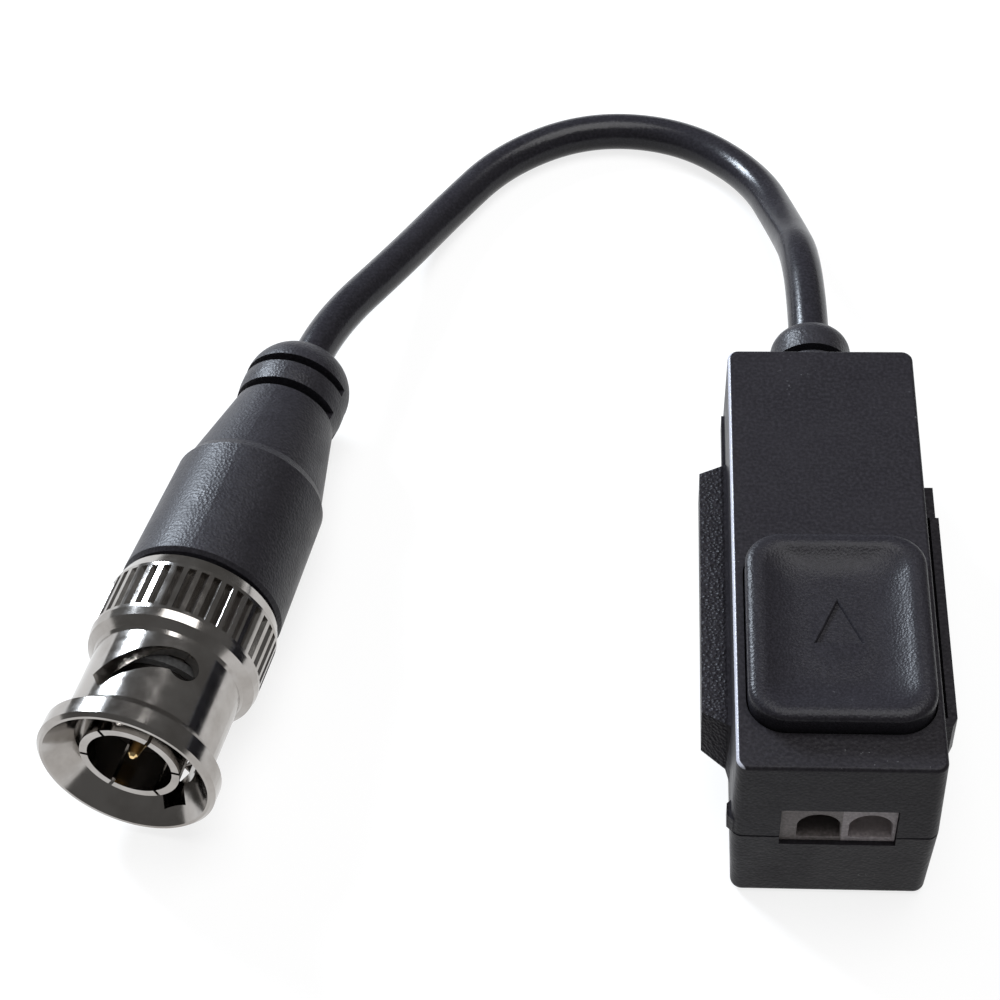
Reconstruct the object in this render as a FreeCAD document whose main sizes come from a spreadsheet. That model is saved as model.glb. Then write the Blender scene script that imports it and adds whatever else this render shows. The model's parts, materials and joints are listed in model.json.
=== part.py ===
"""A passive video balun: a push-terminal housing on a short coaxial pigtail with a bayonet plug.

Millimetres. The origin is the centre of the housing's underside, +Z is up, and +Y runs from the
wire terminals to the cable gland. The plug has a frame of its own: its axis is local +Y, measured
from the rim of the coupling nut backwards.
"""
import FreeCAD, Part
import math
import os
import Sketcher
from FreeCAD import Placement, Rotation, Vector

SIZES = {
    # Housing shells
    "housing_width": 15.0,
    "housing_length": 40.5,
    "housing_height": 17.5,
    "split_height": 8.6,
    "side_wall": 1.1,
    "lower_wall": 1.3,
    "floor_thickness": 1.2,
    "roof_thickness": 1.2,
    "base_taper": 2.0,
    "corner_radius": 0.9,
    "top_edge_radius": 0.3,
    "split_flare": 0.15,
    "seam_chamfer": 0.1,
    "bottom_edge_radius": 0.7,
    # Interlocking rails on the long sides
    "rail_top": 12.6,
    "rail_height": 3.8,
    "rail_root": 0.4,
    "left_rail_reach": 2.25,
    "left_rail_front": -12.2,
    "left_rail_rear": 11.05,
    "left_rail_front_bevel": 1.6,
    "left_foot_front": -13.1,
    "left_foot_shoulder": -14.75,
    "left_foot_reach": 0.45,
    "left_foot_end": -18.2,
    "left_rail_rear_bevel": 1.25,
    "left_rail_lip": 0.6,
    "left_slot_depth": 2.4,
    "rail_end_wall": 1.0,
    "right_rail_reach": 1.65,
    "right_rail_front": -12.4,
    "right_rail_rear": 6.7,
    "right_rail_bevel": 0.8,
    "right_rail_lip": 0.7,
    "right_slot_depth": 2.6,
    "right_stop_reach": 1.4,
    "right_stop_length": 3.1,
    "side_rib_reach": 0.35,
    "side_rib_low": 9.6,
    "side_rib_height": 1.8,
    "side_rib_rear": 18.4,
    "side_nib_reach": 0.43,
    "side_nib_low": 8.65,
    "side_nib_height": 1.6,
    "side_nib_length": 1.9,
    "side_nib_inset": 0.15,
    "side_nib_slope": 0.45,
    # Snap hooks that hold the shells together
    "hook_width": 3.0,
    "hook_thickness": 0.8,
    "hook_top": 11.8,
    "hook_nose": 0.4,
    "hook_nose_height": 0.8,
    "hook_gap": 0.15,
    "hook_front": -13.0,
    "hook_rear": 13.0,
    # Push pad over the wire terminals
    "pad_margin": 0.72,
    "pad_length": 17.0,
    "pad_middle": -8.6,
    "pad_shift": 0.18,
    "pad_proud": 1.8,
    "pad_skirt": 2.3,
    "pad_wall": 1.2,
    "pad_crown": 1.2,
    "pad_corner": 2.8,
    "pad_gap": 0.12,
    "pad_travel": 1.2,
    "pad_edge_radius": 0.3,
    "pad_rim": 0.9,
    "dish_depth": 1.05,
    "dish_side_slope": 2.0,
    "dish_end_slope": 1.5,
    "dish_corner": 1.9,
    "dish_floor_radius": 1.4,
    "arrow_width": 3.74,
    "arrow_length": 4.1,
    "arrow_depth": 0.25,
    "arrow_middle": 0.75,
    "pad_tab_width": 8.0,
    "pad_tab_reach": 0.7,
    "pad_stop_gap": 0.05,
    "pad_leg_width": 1.8,
    "pad_leg_length": 2.0,
    "pad_leg_middle": -13.2,
    "pad_post_radius": 0.6,
    "pad_post_length": 3.0,
    # Return springs of the pad
    "spring_inset": 2.8,
    "spring_middle": -3.0,
    "spring_radius": 1.0,
    "spring_wire": 0.18,
    "spring_turns": 7.0,
    # Circuit board
    "board_gap": 1.0,
    "board_front": -18.4,
    "board_rear": 15.4,
    "board_low": 6.0,
    "board_thickness": 1.0,
    "board_post_radius": 1.0,
    "board_post_inset": 1.3,
    "board_post_front": -15.5,
    "board_post_rear": 12.5,
    # Window and the two terminal blocks behind it
    "window_width": 8.55,
    "window_shift": 0.225,
    "window_low": 7.5,
    "window_high": 12.1,
    "window_gap": 0.05,
    "block_split": 0.5,
    "block_top": 13.6,
    "block_rear": -7.0,
    "block_recess": 0.25,
    "block_gap": 0.1,
    "entry_left": -1.2,
    "entry_right": 2.6,
    "entry_width": 3.2,
    "entry_low": 8.1,
    "entry_side_height": 1.7,
    "entry_arch": 1.3,
    "cell_width": 2.7,
    "cell_front": -18.0,
    "cell_rear": -7.9,
    "cell_floor": 7.7,
    # Contact bars and cage springs of the terminals
    "bar_width": 1.8,
    "bar_thickness": 0.4,
    "bar_low": 11.0,
    "bar_front": -16.8,
    "bar_rear": -8.6,
    "bar_tongue_width": 1.0,
    "bar_tongue_length": 1.4,
    "tail_foot": 0.7,
    "tail_gap": 0.08,
    "strip_thickness": 0.25,
    "cage_top": 13.0,
    "cage_front": -16.0,
    "cage_low": 9.7,
    "cage_window_low": 10.9,
    "cage_window_high": 12.75,
    "cage_window_width": 1.2,
    "cage_loop_rear": -9.3,
    "cage_foot_front": -14.0,
    "leg_gap": 0.15,
    # Balun transformer
    "core_width": 6.0,
    "core_length": 6.8,
    "core_height": 4.0,
    "core_low": 8.6,
    "core_middle": 6.0,
    "core_leg": 2.0,
    "core_limb": 0.8,
    "core_yoke": 1.2,
    "bobbin_base": 0.9,
    "bobbin_wall": 0.12,
    "bobbin_flange": 0.3,
    "winding_build": 0.45,
    "fit_gap": 0.02,
    "pin_radius": 0.25,
    "pin_pitch": 2.5,
    # Small parts on the board
    "surge_width": 4.0,
    "surge_length": 2.4,
    "surge_height": 2.2,
    "surge_middle": -3.2,
    "chip_length": 1.6,
    "chip_width": 0.9,
    "chip_height": 0.8,
    "chip_inset": 0.9,
    "chip_middle": 10.6,
    # Cable and gland
    "cable_radius": 1.75,
    "gland_height": 9.15,
    "gland_neck_radius": 2.6,
    "gland_neck_gap": 0.1,
    "gland_ring_gap": 0.25,
    "gland_flange_radius": 3.5,
    "gland_flange_thickness": 1.2,
    "gland_ring_radius": 3.45,
    "gland_groove_radius": 2.5,
    "gland_groove_width": 0.8,
    "gland_first_ring": 2.0,
    "gland_second_ring": 1.85,
    "gland_dome_length": 3.5,
    "gland_dome_straight": 1.6,
    "gland_bridge": 36.0,
    "moulded_lip": 0.3,
    "tail_end": 16.6,
    "core_radius": 0.75,
    "core_landing": 14.2,
    "braid_radius": 0.45,
    "braid_spread": 1.4,
    "braid_landing": 13.2,
    # Plug: place and turn of its axis
    "plug_x": -53.71,
    "plug_y": -15.6,
    "plug_turn": 11.88,
    "plug_dip": 3.0,
    "plug_lift": 1.54,
    # Coupling nut
    "nut_radius": 7.25,
    "nut_rim": 1.7,
    "nut_barrel_radius": 6.1,
    "nut_collar_radius": 6.95,
    "nut_collar_front": 9.3,
    "nut_collar_rear": 10.2,
    "nut_collar_step": 0.15,
    "knurl_front": 11.2,
    "knurl_length": 4.05,
    "knurl_radius": 7.1,
    "knurl_depth": 0.4,
    "knurl_count": 42,
    "nut_length": 16.6,
    "nut_mouth_radius": 6.7,
    "nut_mouth_depth": 2.2,
    "nut_bore_radius": 4.95,
    "nut_chamber_radius": 6.05,
    "slot_width": 2.0,
    "slot_entry_width": 2.3,
    "slot_entry_radius": 5.75,
    "slot_start_turn": 32.0,
    "slot_end_turn": -30.0,
    "slot_start": 4.4,
    "slot_rise": 3.05,
    "slot_seat_radius": 1.2,
    # Body of the plug
    "flange_front": 9.0,
    "flange_thickness": 1.0,
    "running_gap": 0.07,
    "shoulder_gap": 0.05,
    "body_front": 8.3,
    "body_front_radius": 4.85,
    "body_barrel_radius": 4.6,
    "body_barrel_rear": 14.6,
    "crimp_neck_radius": 1.4,
    "crimp_neck_bore": 1.0,
    "crimp_neck_rear": 20.0,
    "sleeve_front": 1.0,
    "sleeve_rear": 11.5,
    "sleeve_radius": 4.07,
    "sleeve_bore": 3.45,
    "slit_width": 0.28,
    "slit_rear": 6.8,
    "slit_turn": 28.0,
    "insulator_front": 4.6,
    "insulator_rear": 12.7,
    "contact_radius": 0.675,
    "contact_tip": 1.6,
    "contact_tip_radius": 0.4,
    "contact_tail_radius": 0.9,
    "gasket_thickness": 0.7,
    "gasket_gap": 0.05,
    "washer_front": 11.0,
    "washer_thickness": 0.5,
    "washer_gap": 0.1,
    "disc_thickness": 0.25,
    "ring_thickness": 0.6,
    "ring_bite": 0.3,
    "ring_opening": 2.4,
    "ferrule_front": 15.2,
    "ferrule_rear": 21.0,
    "ferrule_radius": 2.35,
    "ferrule_bore": 1.78,
    # Moulded boot of the plug
    "boot_radius": 6.85,
    "boot_front": 17.2,
    "boot_nose_front": 13.0,
    "boot_nose_radius": 5.7,
    "boot_edge_radius": 0.3,
    "boot_shoulder": 29.5,
    "boot_shoulder_radius": 6.53,
    "boot_step": 30.4,
    "boot_step_radius": 6.1,
    "boot_neck": 38.7,
    "boot_neck_radius": 4.5,
    "boot_groove_radius": 3.0,
    "boot_groove_width": 0.85,
    "boot_ring_width": 2.0,
    "boot_ring_radius": 4.7,
    "boot_length": 46.2,
    "boot_bridge": 30.0,
}

# The cable from the gland to the boot, chosen by hand along the loop that it lies in.
CABLE_ROUTE = [
    (0.0, 38.6, 9.15),
    (-1.27, 48.04, 4.8),
    (-3.84, 57.51, 2.4),
    (-10.77, 64.15, 1.75),
    (-20.06, 65.23, 1.75),
    (-28.33, 60.71, 1.75),
    (-33.62, 52.91, 1.8),
    (-37.48, 44.94, 3.3),
    (-43.23, 34.21, 5.4),
]

doc = FreeCAD.newDocument("balun")
nodes = []


class Size:
    """A number together with the spreadsheet expression that it comes from."""

    def __init__(self, value, text):
        self.value = value
        self.text = text

    def joined(self, sign, other, value):
        return Size(value, "(%s %s %s)" % (self.text, sign, other.text))

    def __add__(self, other):
        other = as_size(other)
        return self.joined("+", other, self.value + other.value)

    def __sub__(self, other):
        other = as_size(other)
        return self.joined("-", other, self.value - other.value)

    def __mul__(self, other):
        other = as_size(other)
        return self.joined("*", other, self.value * other.value)

    def __truediv__(self, other):
        other = as_size(other)
        return self.joined("/", other, self.value / other.value)

    def __radd__(self, other):
        return as_size(other) + self

    def __rsub__(self, other):
        return as_size(other) - self

    def __rmul__(self, other):
        return as_size(other) * self

    def __neg__(self):
        return as_size(0) - self

    def slope(self):
        """The angle in degrees whose tangent is this size."""
        return Size(math.degrees(math.atan(self.value)), "(atan(%s) / 1deg)" % self.text)


def as_size(number):
    """The number itself as a Size, unless it is one already."""
    if isinstance(number, Size):
        return number
    return Size(float(number), repr(float(number)))


class SizeSheet:
    """The driving dimensions: a spreadsheet with an alias for each, and a Size to work with."""

    def __init__(self, table):
        sheet = doc.addObject("Spreadsheet::Sheet", "Sizes")
        for row, (name, number) in enumerate(table.items(), start=1):
            sheet.set("A%d" % row, name)
            sheet.set("B%d" % row, str(number))
            sheet.setAlias("B%d" % row, name)
            setattr(self, name, Size(float(number), "Sizes." + name))
        doc.recompute()


size = SizeSheet(SIZES)


def bind(item, path, number):
    """Tie a property of a document object to its expression."""
    item.setExpression(path, as_size(number).text)


def vector(x, y, z=0):
    return Vector(as_size(x).value, as_size(y).value, as_size(z).value)


def keep(item, name):
    """Make a document object one of the sub-parts, under its own label."""
    item.Label = name
    nodes.append(item)
    return item


def new_body(name):
    return doc.addObject("PartDesign::Body", name)


def new_sketch(body, plane, name, lift=0):
    """A sketch on one of the body's own origin planes, lifted along the plane's normal."""
    sketch = body.newObject("Sketcher::SketchObject", name)
    origin_plane = [part for part in body.Origin.OriginFeatures if part.Role == plane][0]
    sketch.AttachmentSupport = [(origin_plane, "")]
    sketch.MapMode = "FlatFace"
    sketch.AttachmentOffset = Placement(vector(0, 0, lift), Rotation())
    bind(sketch, "AttachmentOffset.Base.z", lift)
    return sketch


def pin_point(sketch, edge, end, x, y):
    """Hold one end of an edge at its sizes, measured from the sketch's origin."""
    for kind, number in (("DistanceX", as_size(x)), ("DistanceY", as_size(y))):
        held = Sketcher.Constraint(kind, -1, 1, edge, end, number.value)
        index = sketch.addConstraint(held)
        bind(sketch, "Constraints[%d]" % index, number)


def outline(sketch, corners):
    """A closed outline through corners.

    A corner is (x, y), or (x, y, radius) where an arc that bulges to the right leads up to it.
    """
    first = sketch.GeometryCount
    count = len(corners)
    for index in range(count):
        start = vector(*corners[index][:2])
        following = corners[(index + 1) % count]
        end = vector(*following[:2])
        if len(following) == 2:
            sketch.addGeometry(Part.LineSegment(start, end), False)
        else:
            sketch.addGeometry(right_hand_arc(start, end, following[2].value), False)
    for index in range(count):
        following = first + (index + 1) % count
        sketch.addConstraint(Sketcher.Constraint("Coincident", first + index, 2, following, 1))
    for index in range(count):
        pin_point(sketch, first + index, 1, *corners[index][:2])
        radius = corners[(index + 1) % count][2:]
        for number in radius:
            bend = Sketcher.Constraint("Radius", first + index, number.value)
            bind(sketch, "Constraints[%d]" % sketch.addConstraint(bend), number)


def right_hand_arc(start, end, radius):
    """An arc from start to end that bulges to the right of the way from one to the other."""
    chord = end - start
    sagitta = radius - math.sqrt(radius ** 2 - (chord.Length / 2) ** 2)
    right = Vector(chord.y, -chord.x, 0).normalize()
    return Part.Arc(start, (start + end) / 2 + right * sagitta, end)


def dome_radius(drop, rise):
    """Radius of the arc that leaves a straight side smoothly and falls by drop over rise."""
    return (drop * drop + rise * rise) / (drop * 2)


def rectangle(sketch, left, right, low, high):
    outline(sketch, [(left, low), (right, low), (right, high), (left, high)])


def circle(sketch, x, y, radius):
    radius = as_size(radius)
    ring = Part.Circle(vector(x, y), Vector(0, 0, 1), radius.value)
    index = sketch.addGeometry(ring, False)
    pin_point(sketch, index, 3, x, y)
    held = sketch.addConstraint(Sketcher.Constraint("Radius", index, radius.value))
    bind(sketch, "Constraints[%d]" % held, radius)


def extrude(body, sketch, kind, length, backwards=False, taper=None):
    """A Pad or a Pocket of a sketch."""
    feature = body.newObject("PartDesign::" + kind, sketch.Name + kind)
    feature.Profile = sketch
    feature.Reversed = backwards
    feature.Length = as_size(length).value
    bind(feature, "Length", length)
    if taper is not None:
        feature.TaperAngle = taper.value
        bind(feature, "TaperAngle", taper)
    body.Tip = feature
    return feature


def turn(body, sketch, kind="Revolution", angle=360):
    """A Revolution or a Groove of a sketch about its vertical axis."""
    feature = body.newObject("PartDesign::" + kind, sketch.Name + kind)
    feature.Profile = sketch
    feature.ReferenceAxis = (sketch, ["V_Axis"])
    feature.Angle = as_size(angle).value
    bind(feature, "Angle", angle)
    body.Tip = feature
    return feature


def repeat_round(body, feature, count):
    """Repeat a feature evenly about the body's own Y axis."""
    pattern = body.newObject("PartDesign::PolarPattern", feature.Name + "Pattern")
    axis = [part for part in body.Origin.OriginFeatures if part.Role == "Y_Axis"][0]
    pattern.Originals = [feature]
    pattern.Axis = (axis, [""])
    pattern.Angle = 360
    pattern.Occurrences = int(as_size(count).value)
    bind(pattern, "Occurrences", count)
    body.Tip = pattern
    return pattern


def edges_where(feature, test):
    """Names of the edges of a feature's shape whose middle and direction pass a test."""
    found = []
    for index, edge in enumerate(feature.Shape.Edges, start=1):
        middle = edge.valueAt((edge.FirstParameter + edge.LastParameter) / 2)
        along = edge.tangentAt((edge.FirstParameter + edge.LastParameter) / 2)
        if test(middle, along, edge):
            found.append("Edge%d" % index)
    return found


def dress(body, kind, test, number):
    """A Fillet or a Chamfer on the edges of the body's tip that pass a test."""
    doc.recompute()
    base = body.Tip
    feature = body.newObject("PartDesign::" + kind, base.Name + kind)
    feature.Base = (base, edges_where(base, test))
    path = "Radius" if kind == "Fillet" else "Size"
    setattr(feature, path, as_size(number).value)
    bind(feature, path, number)
    body.Tip = feature
    return feature


def near(first, second, slack=0.02):
    return abs(first - as_size(second).value) < slack


def box(name, low, high):
    """A Part::Box between two corners."""
    item = doc.addObject("Part::Box", name)
    item.Placement = Placement(vector(*low), Rotation())
    for path, start, end in zip(("Length", "Width", "Height"), low, high):
        span = as_size(end) - as_size(start)
        setattr(item, path, span.value)
        bind(item, path, span)
    for path, start in zip(("x", "y", "z"), low):
        bind(item, "Placement.Base." + path, start)
    return item


def rod(name, radius, start, end):
    """A Part::Cylinder from one point to another."""
    item = doc.addObject("Part::Cylinder", name)
    start_point = vector(*start)
    direction = vector(*end) - start_point
    item.Radius = as_size(radius).value
    item.Height = direction.Length
    bind(item, "Radius", radius)
    item.Placement = Placement(start_point, Rotation(Vector(0, 0, 1), direction))
    for path, number in zip(("x", "y", "z"), start):
        bind(item, "Placement.Base." + path, number)
    return item


def fused(name, items):
    item = doc.addObject("Part::MultiFuse", name)
    item.Shapes = items
    return item


def gathered(name, items):
    """Separate solids that share one sub-part."""
    item = doc.addObject("Part::Compound", name)
    item.Links = items
    return item


def cut(name, base, tool):
    item = doc.addObject("Part::Cut", name)
    item.Base = base
    item.Tool = tool
    return item


def shaped(name, shape):
    item = doc.addObject("Part::Feature", name)
    item.Shape = shape
    return item


half_width = size.housing_width / 2
half_length = size.housing_length / 2
roof_low = size.housing_height - size.roof_thickness
window_left = size.window_shift - size.window_width / 2
window_right = size.window_shift + size.window_width / 2
board_top = size.board_low + size.board_thickness
half_board = half_width - size.lower_wall - size.board_gap
half_pad = half_width - size.pad_margin
pad_left = size.pad_shift - half_pad
pad_right = size.pad_shift + half_pad
pad_front = size.pad_middle - size.pad_length / 2
pad_rear = size.pad_middle + size.pad_length / 2
pad_top = size.housing_height + size.pad_proud
pad_low = size.housing_height - size.pad_skirt
pad_crown_low = pad_top - size.dish_depth - size.pad_crown
gland_first_groove = half_length + size.gland_first_ring
gland_second_groove = gland_first_groove + size.gland_groove_width + size.gland_second_ring
gland_dome = gland_second_groove + size.gland_groove_width
gland_end = gland_dome + size.gland_dome_length
plug_axis_height = size.boot_shoulder_radius + size.plug_lift
split_half_width = half_width + size.split_flare
split_half_length = half_length + size.split_flare
upper_taper = (size.split_flare / (size.housing_height - size.split_height)).slope()
entries = (("left", size.entry_left), ("right", size.entry_right))


def along_z(direction):
    return abs(direction.z) > 0.9


def upper_shell():
    """The upper shell: roof, walls, pad opening, window, rails and the side details."""
    body = new_body("upper_shell_body")
    block = new_sketch(body, "XY_Plane", "upper_block", size.split_height)
    rectangle(block, -split_half_width, split_half_width, -split_half_length, split_half_length)
    extrude(body, block, "Pad", size.housing_height - size.split_height, taper=-upper_taper)
    dress(body, "Fillet", lambda at, way, edge: along_z(way), size.corner_radius)
    dress(body, "Fillet", lambda at, way, edge: near(at.z, size.housing_height),
          size.top_edge_radius)
    dress(body, "Chamfer", lambda at, way, edge: near(at.z, size.split_height), size.seam_chamfer)

    rail_low = size.rail_top - size.rail_height
    left_root = size.rail_root - half_width
    left_edge = -half_width - size.left_rail_reach
    left_rear = [
        (left_edge, size.left_rail_rear),
        (left_root, size.left_rail_rear + size.left_rail_rear_bevel),
    ]
    left_foot = new_sketch(body, "XY_Plane", "left_rail_foot", rail_low)
    outline(left_foot, [
        (left_root, size.left_foot_end),
        (-half_width - size.left_foot_reach, size.left_foot_shoulder),
        (left_edge, size.left_foot_front),
    ] + left_rear)
    left_rail = new_sketch(body, "XY_Plane", "left_rail", size.rail_top)
    bevel = size.left_rail_front_bevel
    outline(left_rail, [
        (left_root, size.left_rail_front - bevel),
        (-half_width, size.left_rail_front - bevel * 0.8),
        (left_edge, size.left_rail_front),
    ] + left_rear)
    ledge = body.newObject("PartDesign::AdditiveLoft", "left_rail_ledge")
    ledge.Profile = left_foot
    ledge.Sections = [left_rail]
    ledge.Ruled = True
    body.Tip = ledge
    left_slot = new_sketch(body, "XY_Plane", "left_slot", rail_low)
    rectangle(left_slot, left_edge + size.left_rail_lip, -half_width,
              size.left_rail_front + size.rail_end_wall,
              size.left_rail_rear + size.left_rail_rear_bevel)
    extrude(body, left_slot, "Pocket", size.left_slot_depth, backwards=True)

    right_rail = new_sketch(body, "XY_Plane", "right_rail", size.rail_top)
    right_root = half_width - size.rail_root
    right_edge = half_width + size.right_rail_reach
    stop_edge = half_width + size.right_stop_reach
    stop_rear = size.right_rail_rear + size.right_stop_length
    outline(right_rail, [
        (right_root, size.right_rail_front - size.right_rail_bevel),
        (right_edge - size.right_rail_bevel / 2, size.right_rail_front - size.right_rail_bevel),
        (right_edge, size.right_rail_front),
        (right_edge, size.right_rail_rear),
        (stop_edge, size.right_rail_rear),
        (stop_edge, stop_rear),
        (right_root, stop_rear),
    ])
    extrude(body, right_rail, "Pad", size.rail_height, backwards=True)
    right_slot = new_sketch(body, "XY_Plane", "right_slot", size.rail_top)
    rectangle(right_slot, half_width, right_edge - size.right_rail_lip,
              size.right_rail_front, size.right_rail_rear)
    extrude(body, right_slot, "Pocket", size.right_slot_depth)

    rib = new_sketch(body, "XY_Plane", "side_rib", size.side_rib_low)
    rectangle(rib, -half_width - size.side_rib_reach, left_root,
              size.left_rail_rear, size.side_rib_rear)
    extrude(body, rib, "Pad", size.side_rib_height)
    nib = new_sketch(body, "XY_Plane", "side_nib", size.side_nib_low)
    nib_front = size.side_nib_inset - half_length
    nib_rear = nib_front + size.side_nib_length
    nib_face = -half_width - size.side_nib_reach
    outline(nib, [
        (left_root, nib_front),
        (left_root, nib_rear),
        (-half_width, nib_rear),
        (nib_face, nib_rear - size.side_nib_slope),
        (nib_face, nib_front + size.side_nib_slope),
        (-half_width, nib_front),
    ])
    extrude(body, nib, "Pad", size.side_nib_height)

    cavity = new_sketch(body, "XY_Plane", "upper_cavity", size.split_height)
    rectangle(cavity, size.side_wall - half_width, half_width - size.side_wall,
              size.side_wall - half_length, half_length - size.side_wall)
    extrude(body, cavity, "Pocket", roof_low - size.split_height, backwards=True)
    opening = new_sketch(body, "XY_Plane", "pad_opening", size.housing_height)
    rectangle(opening, pad_left - size.pad_gap, pad_right + size.pad_gap,
              pad_front - size.pad_gap, pad_rear + size.pad_gap)
    extrude(body, opening, "Pocket", size.pad_skirt + size.pad_travel + size.pad_gap)
    dress(body, "Fillet", lambda at, way, edge: along_z(way) and is_opening_corner(at),
          size.pad_corner + size.pad_gap)
    window = new_sketch(body, "XZ_Plane", "upper_window", split_half_length)
    rectangle(window, window_left, window_right, size.window_low, size.window_high)
    extrude(body, window, "Pocket", size.side_wall + size.split_flare)
    hole = new_sketch(body, "XZ_Plane", "upper_gland_hole", -split_half_length)
    circle(hole, 0, size.gland_height, size.gland_neck_radius + size.gland_neck_gap)
    extrude(body, hole, "Pocket", size.side_wall + size.split_flare, backwards=True)
    hook_recesses(body)
    return keep(body, "upper_shell")


def is_opening_corner(at):
    beside = near(at.x, pad_left - size.pad_gap) or near(at.x, pad_right + size.pad_gap)
    across = near(at.y, pad_front - size.pad_gap) or near(at.y, pad_rear + size.pad_gap)
    return beside and across


def hook_recesses(body):
    """Pockets inside the upper walls that the hooks of the lower shell snap into."""
    nose_low = size.hook_top - size.hook_nose_height
    inner = half_width - size.side_wall
    for name, middle in (("front", size.hook_front), ("rear", size.hook_rear)):
        front = middle - size.hook_width / 2 - size.hook_gap
        recess = new_sketch(body, "XZ_Plane", name + "_hook_recess", -front)
        reach = inner + size.hook_nose
        for side in (-1, 1):
            rectangle(recess, side * reach, side * (inner - size.hook_gap),
                      nose_low - size.hook_gap, size.hook_top + size.hook_gap)
        extrude(body, recess, "Pocket", size.hook_width + size.hook_gap * 2)


def lower_shell():
    """The lower shell: tapered tray, board posts, snap hooks, window sill and gland saddle."""
    body = new_body("lower_shell_body")
    tray = new_sketch(body, "XY_Plane", "lower_block", size.split_height)
    rectangle(tray, -split_half_width, split_half_width, -split_half_length, split_half_length)
    extrude(body, tray, "Pad", size.split_height, backwards=True, taper=-size.base_taper)
    dress(body, "Fillet", lambda at, way, edge: along_z(way), size.corner_radius)
    dress(body, "Fillet", lambda at, way, edge: near(at.z, 0), size.bottom_edge_radius)
    dress(body, "Chamfer", lambda at, way, edge: near(at.z, size.split_height), size.seam_chamfer)
    cavity = new_sketch(body, "XY_Plane", "lower_cavity", size.split_height)
    rectangle(cavity, size.lower_wall - half_width, half_width - size.lower_wall,
              size.lower_wall - half_length, half_length - size.lower_wall)
    extrude(body, cavity, "Pocket", size.split_height - size.floor_thickness)
    posts = new_sketch(body, "XY_Plane", "board_posts", size.floor_thickness)
    for side in (-1, 1):
        for middle in (size.board_post_front, size.board_post_rear):
            circle(posts, side * (half_board - size.board_post_inset), middle,
                   size.board_post_radius)
    extrude(body, posts, "Pad", size.board_low - size.floor_thickness)
    inner = half_width - size.lower_wall
    face = half_width - size.side_wall - size.hook_gap
    nose = half_width - size.side_wall + size.hook_nose - size.hook_gap
    nose_low = size.hook_top - size.hook_nose_height
    for name, middle in (("front", size.hook_front), ("rear", size.hook_rear)):
        hook = new_sketch(body, "XZ_Plane", name + "_hooks", -(middle - size.hook_width / 2))
        for side in (-1, 1):
            outline(hook, [
                (side * (face - size.hook_thickness), size.floor_thickness),
                (side * inner, size.floor_thickness),
                (side * inner, size.split_height),
                (side * face, size.split_height),
                (side * face, nose_low),
                (side * nose, nose_low),
                (side * face, size.hook_top),
                (side * (face - size.hook_thickness), size.hook_top),
            ])
        extrude(body, hook, "Pad", size.hook_width, backwards=True)
    window = new_sketch(body, "XZ_Plane", "lower_window", split_half_length)
    rectangle(window, window_left, window_right, size.window_low, size.split_height)
    extrude(body, window, "Pocket", size.lower_wall + size.split_flare)
    hole = new_sketch(body, "XZ_Plane", "lower_gland_hole", -split_half_length)
    circle(hole, 0, size.gland_height, size.gland_neck_radius + size.gland_neck_gap)
    extrude(body, hole, "Pocket", size.lower_wall + size.split_flare, backwards=True)
    return keep(body, "lower_shell")


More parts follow.
